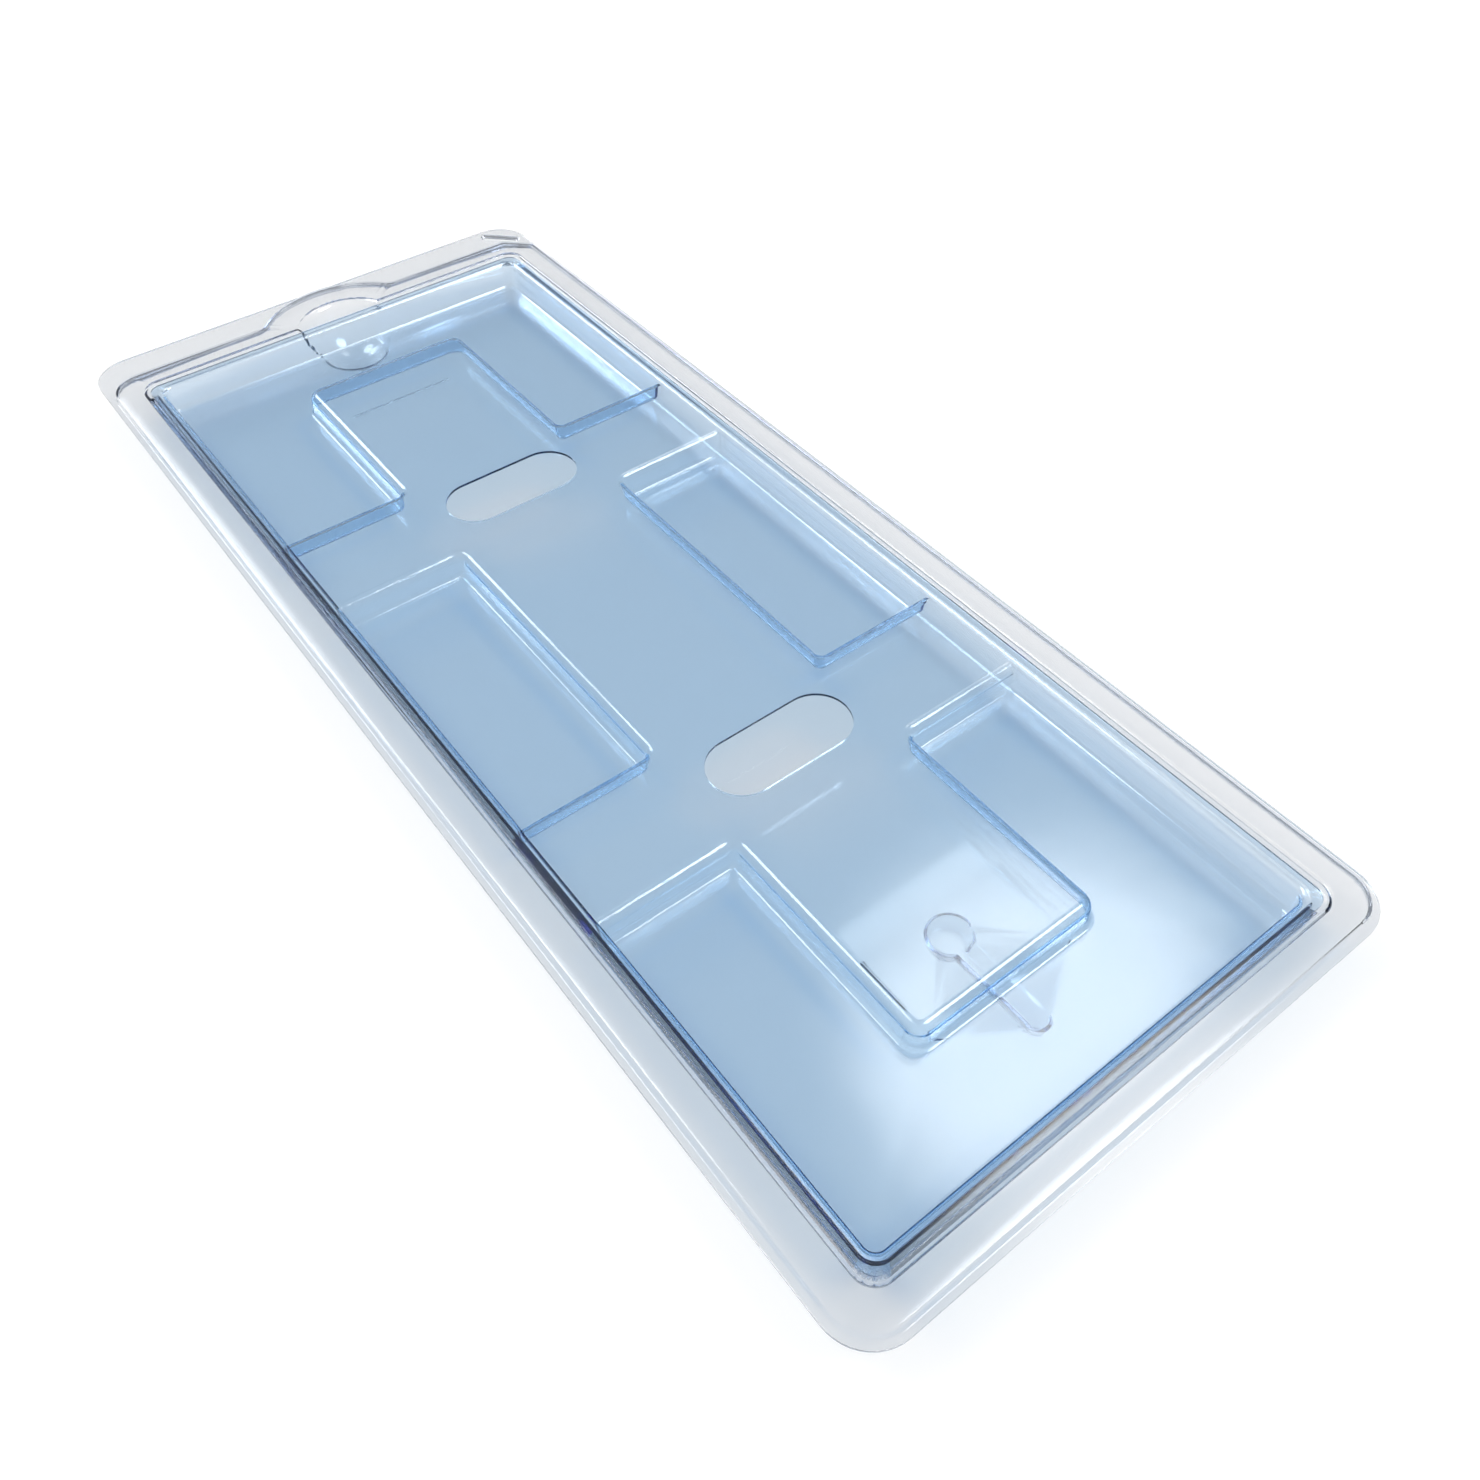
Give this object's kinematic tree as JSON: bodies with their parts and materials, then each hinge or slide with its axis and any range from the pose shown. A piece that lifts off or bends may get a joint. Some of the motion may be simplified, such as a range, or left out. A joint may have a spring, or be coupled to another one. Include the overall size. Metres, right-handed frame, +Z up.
{
  "type": "thermoformed plastic tray",
  "caption": "Shallow two-layer formed tray: a clear outer tray with a sealing flange and finger scoop, and a blue insert with pockets round a raised deck.",
  "frame": {"origin": "centre of the outer tray's cut outline, on the plane that the tray stands on", "axes": "+X across the tray, +Y along it to the end with the finger scoop, +Z up"},
  "size_m": [0.17, 0.41, 0.0172],
  "materials": {
    "clear_sheet": "gloss, clear",
    "blue_sheet": "gloss, clear with a light blue tint"
  },
  "bodies": {
    "root": {"outer_tray": "clear_sheet", "insert_tray": "blue_sheet"}
  },
  "joints": []
}
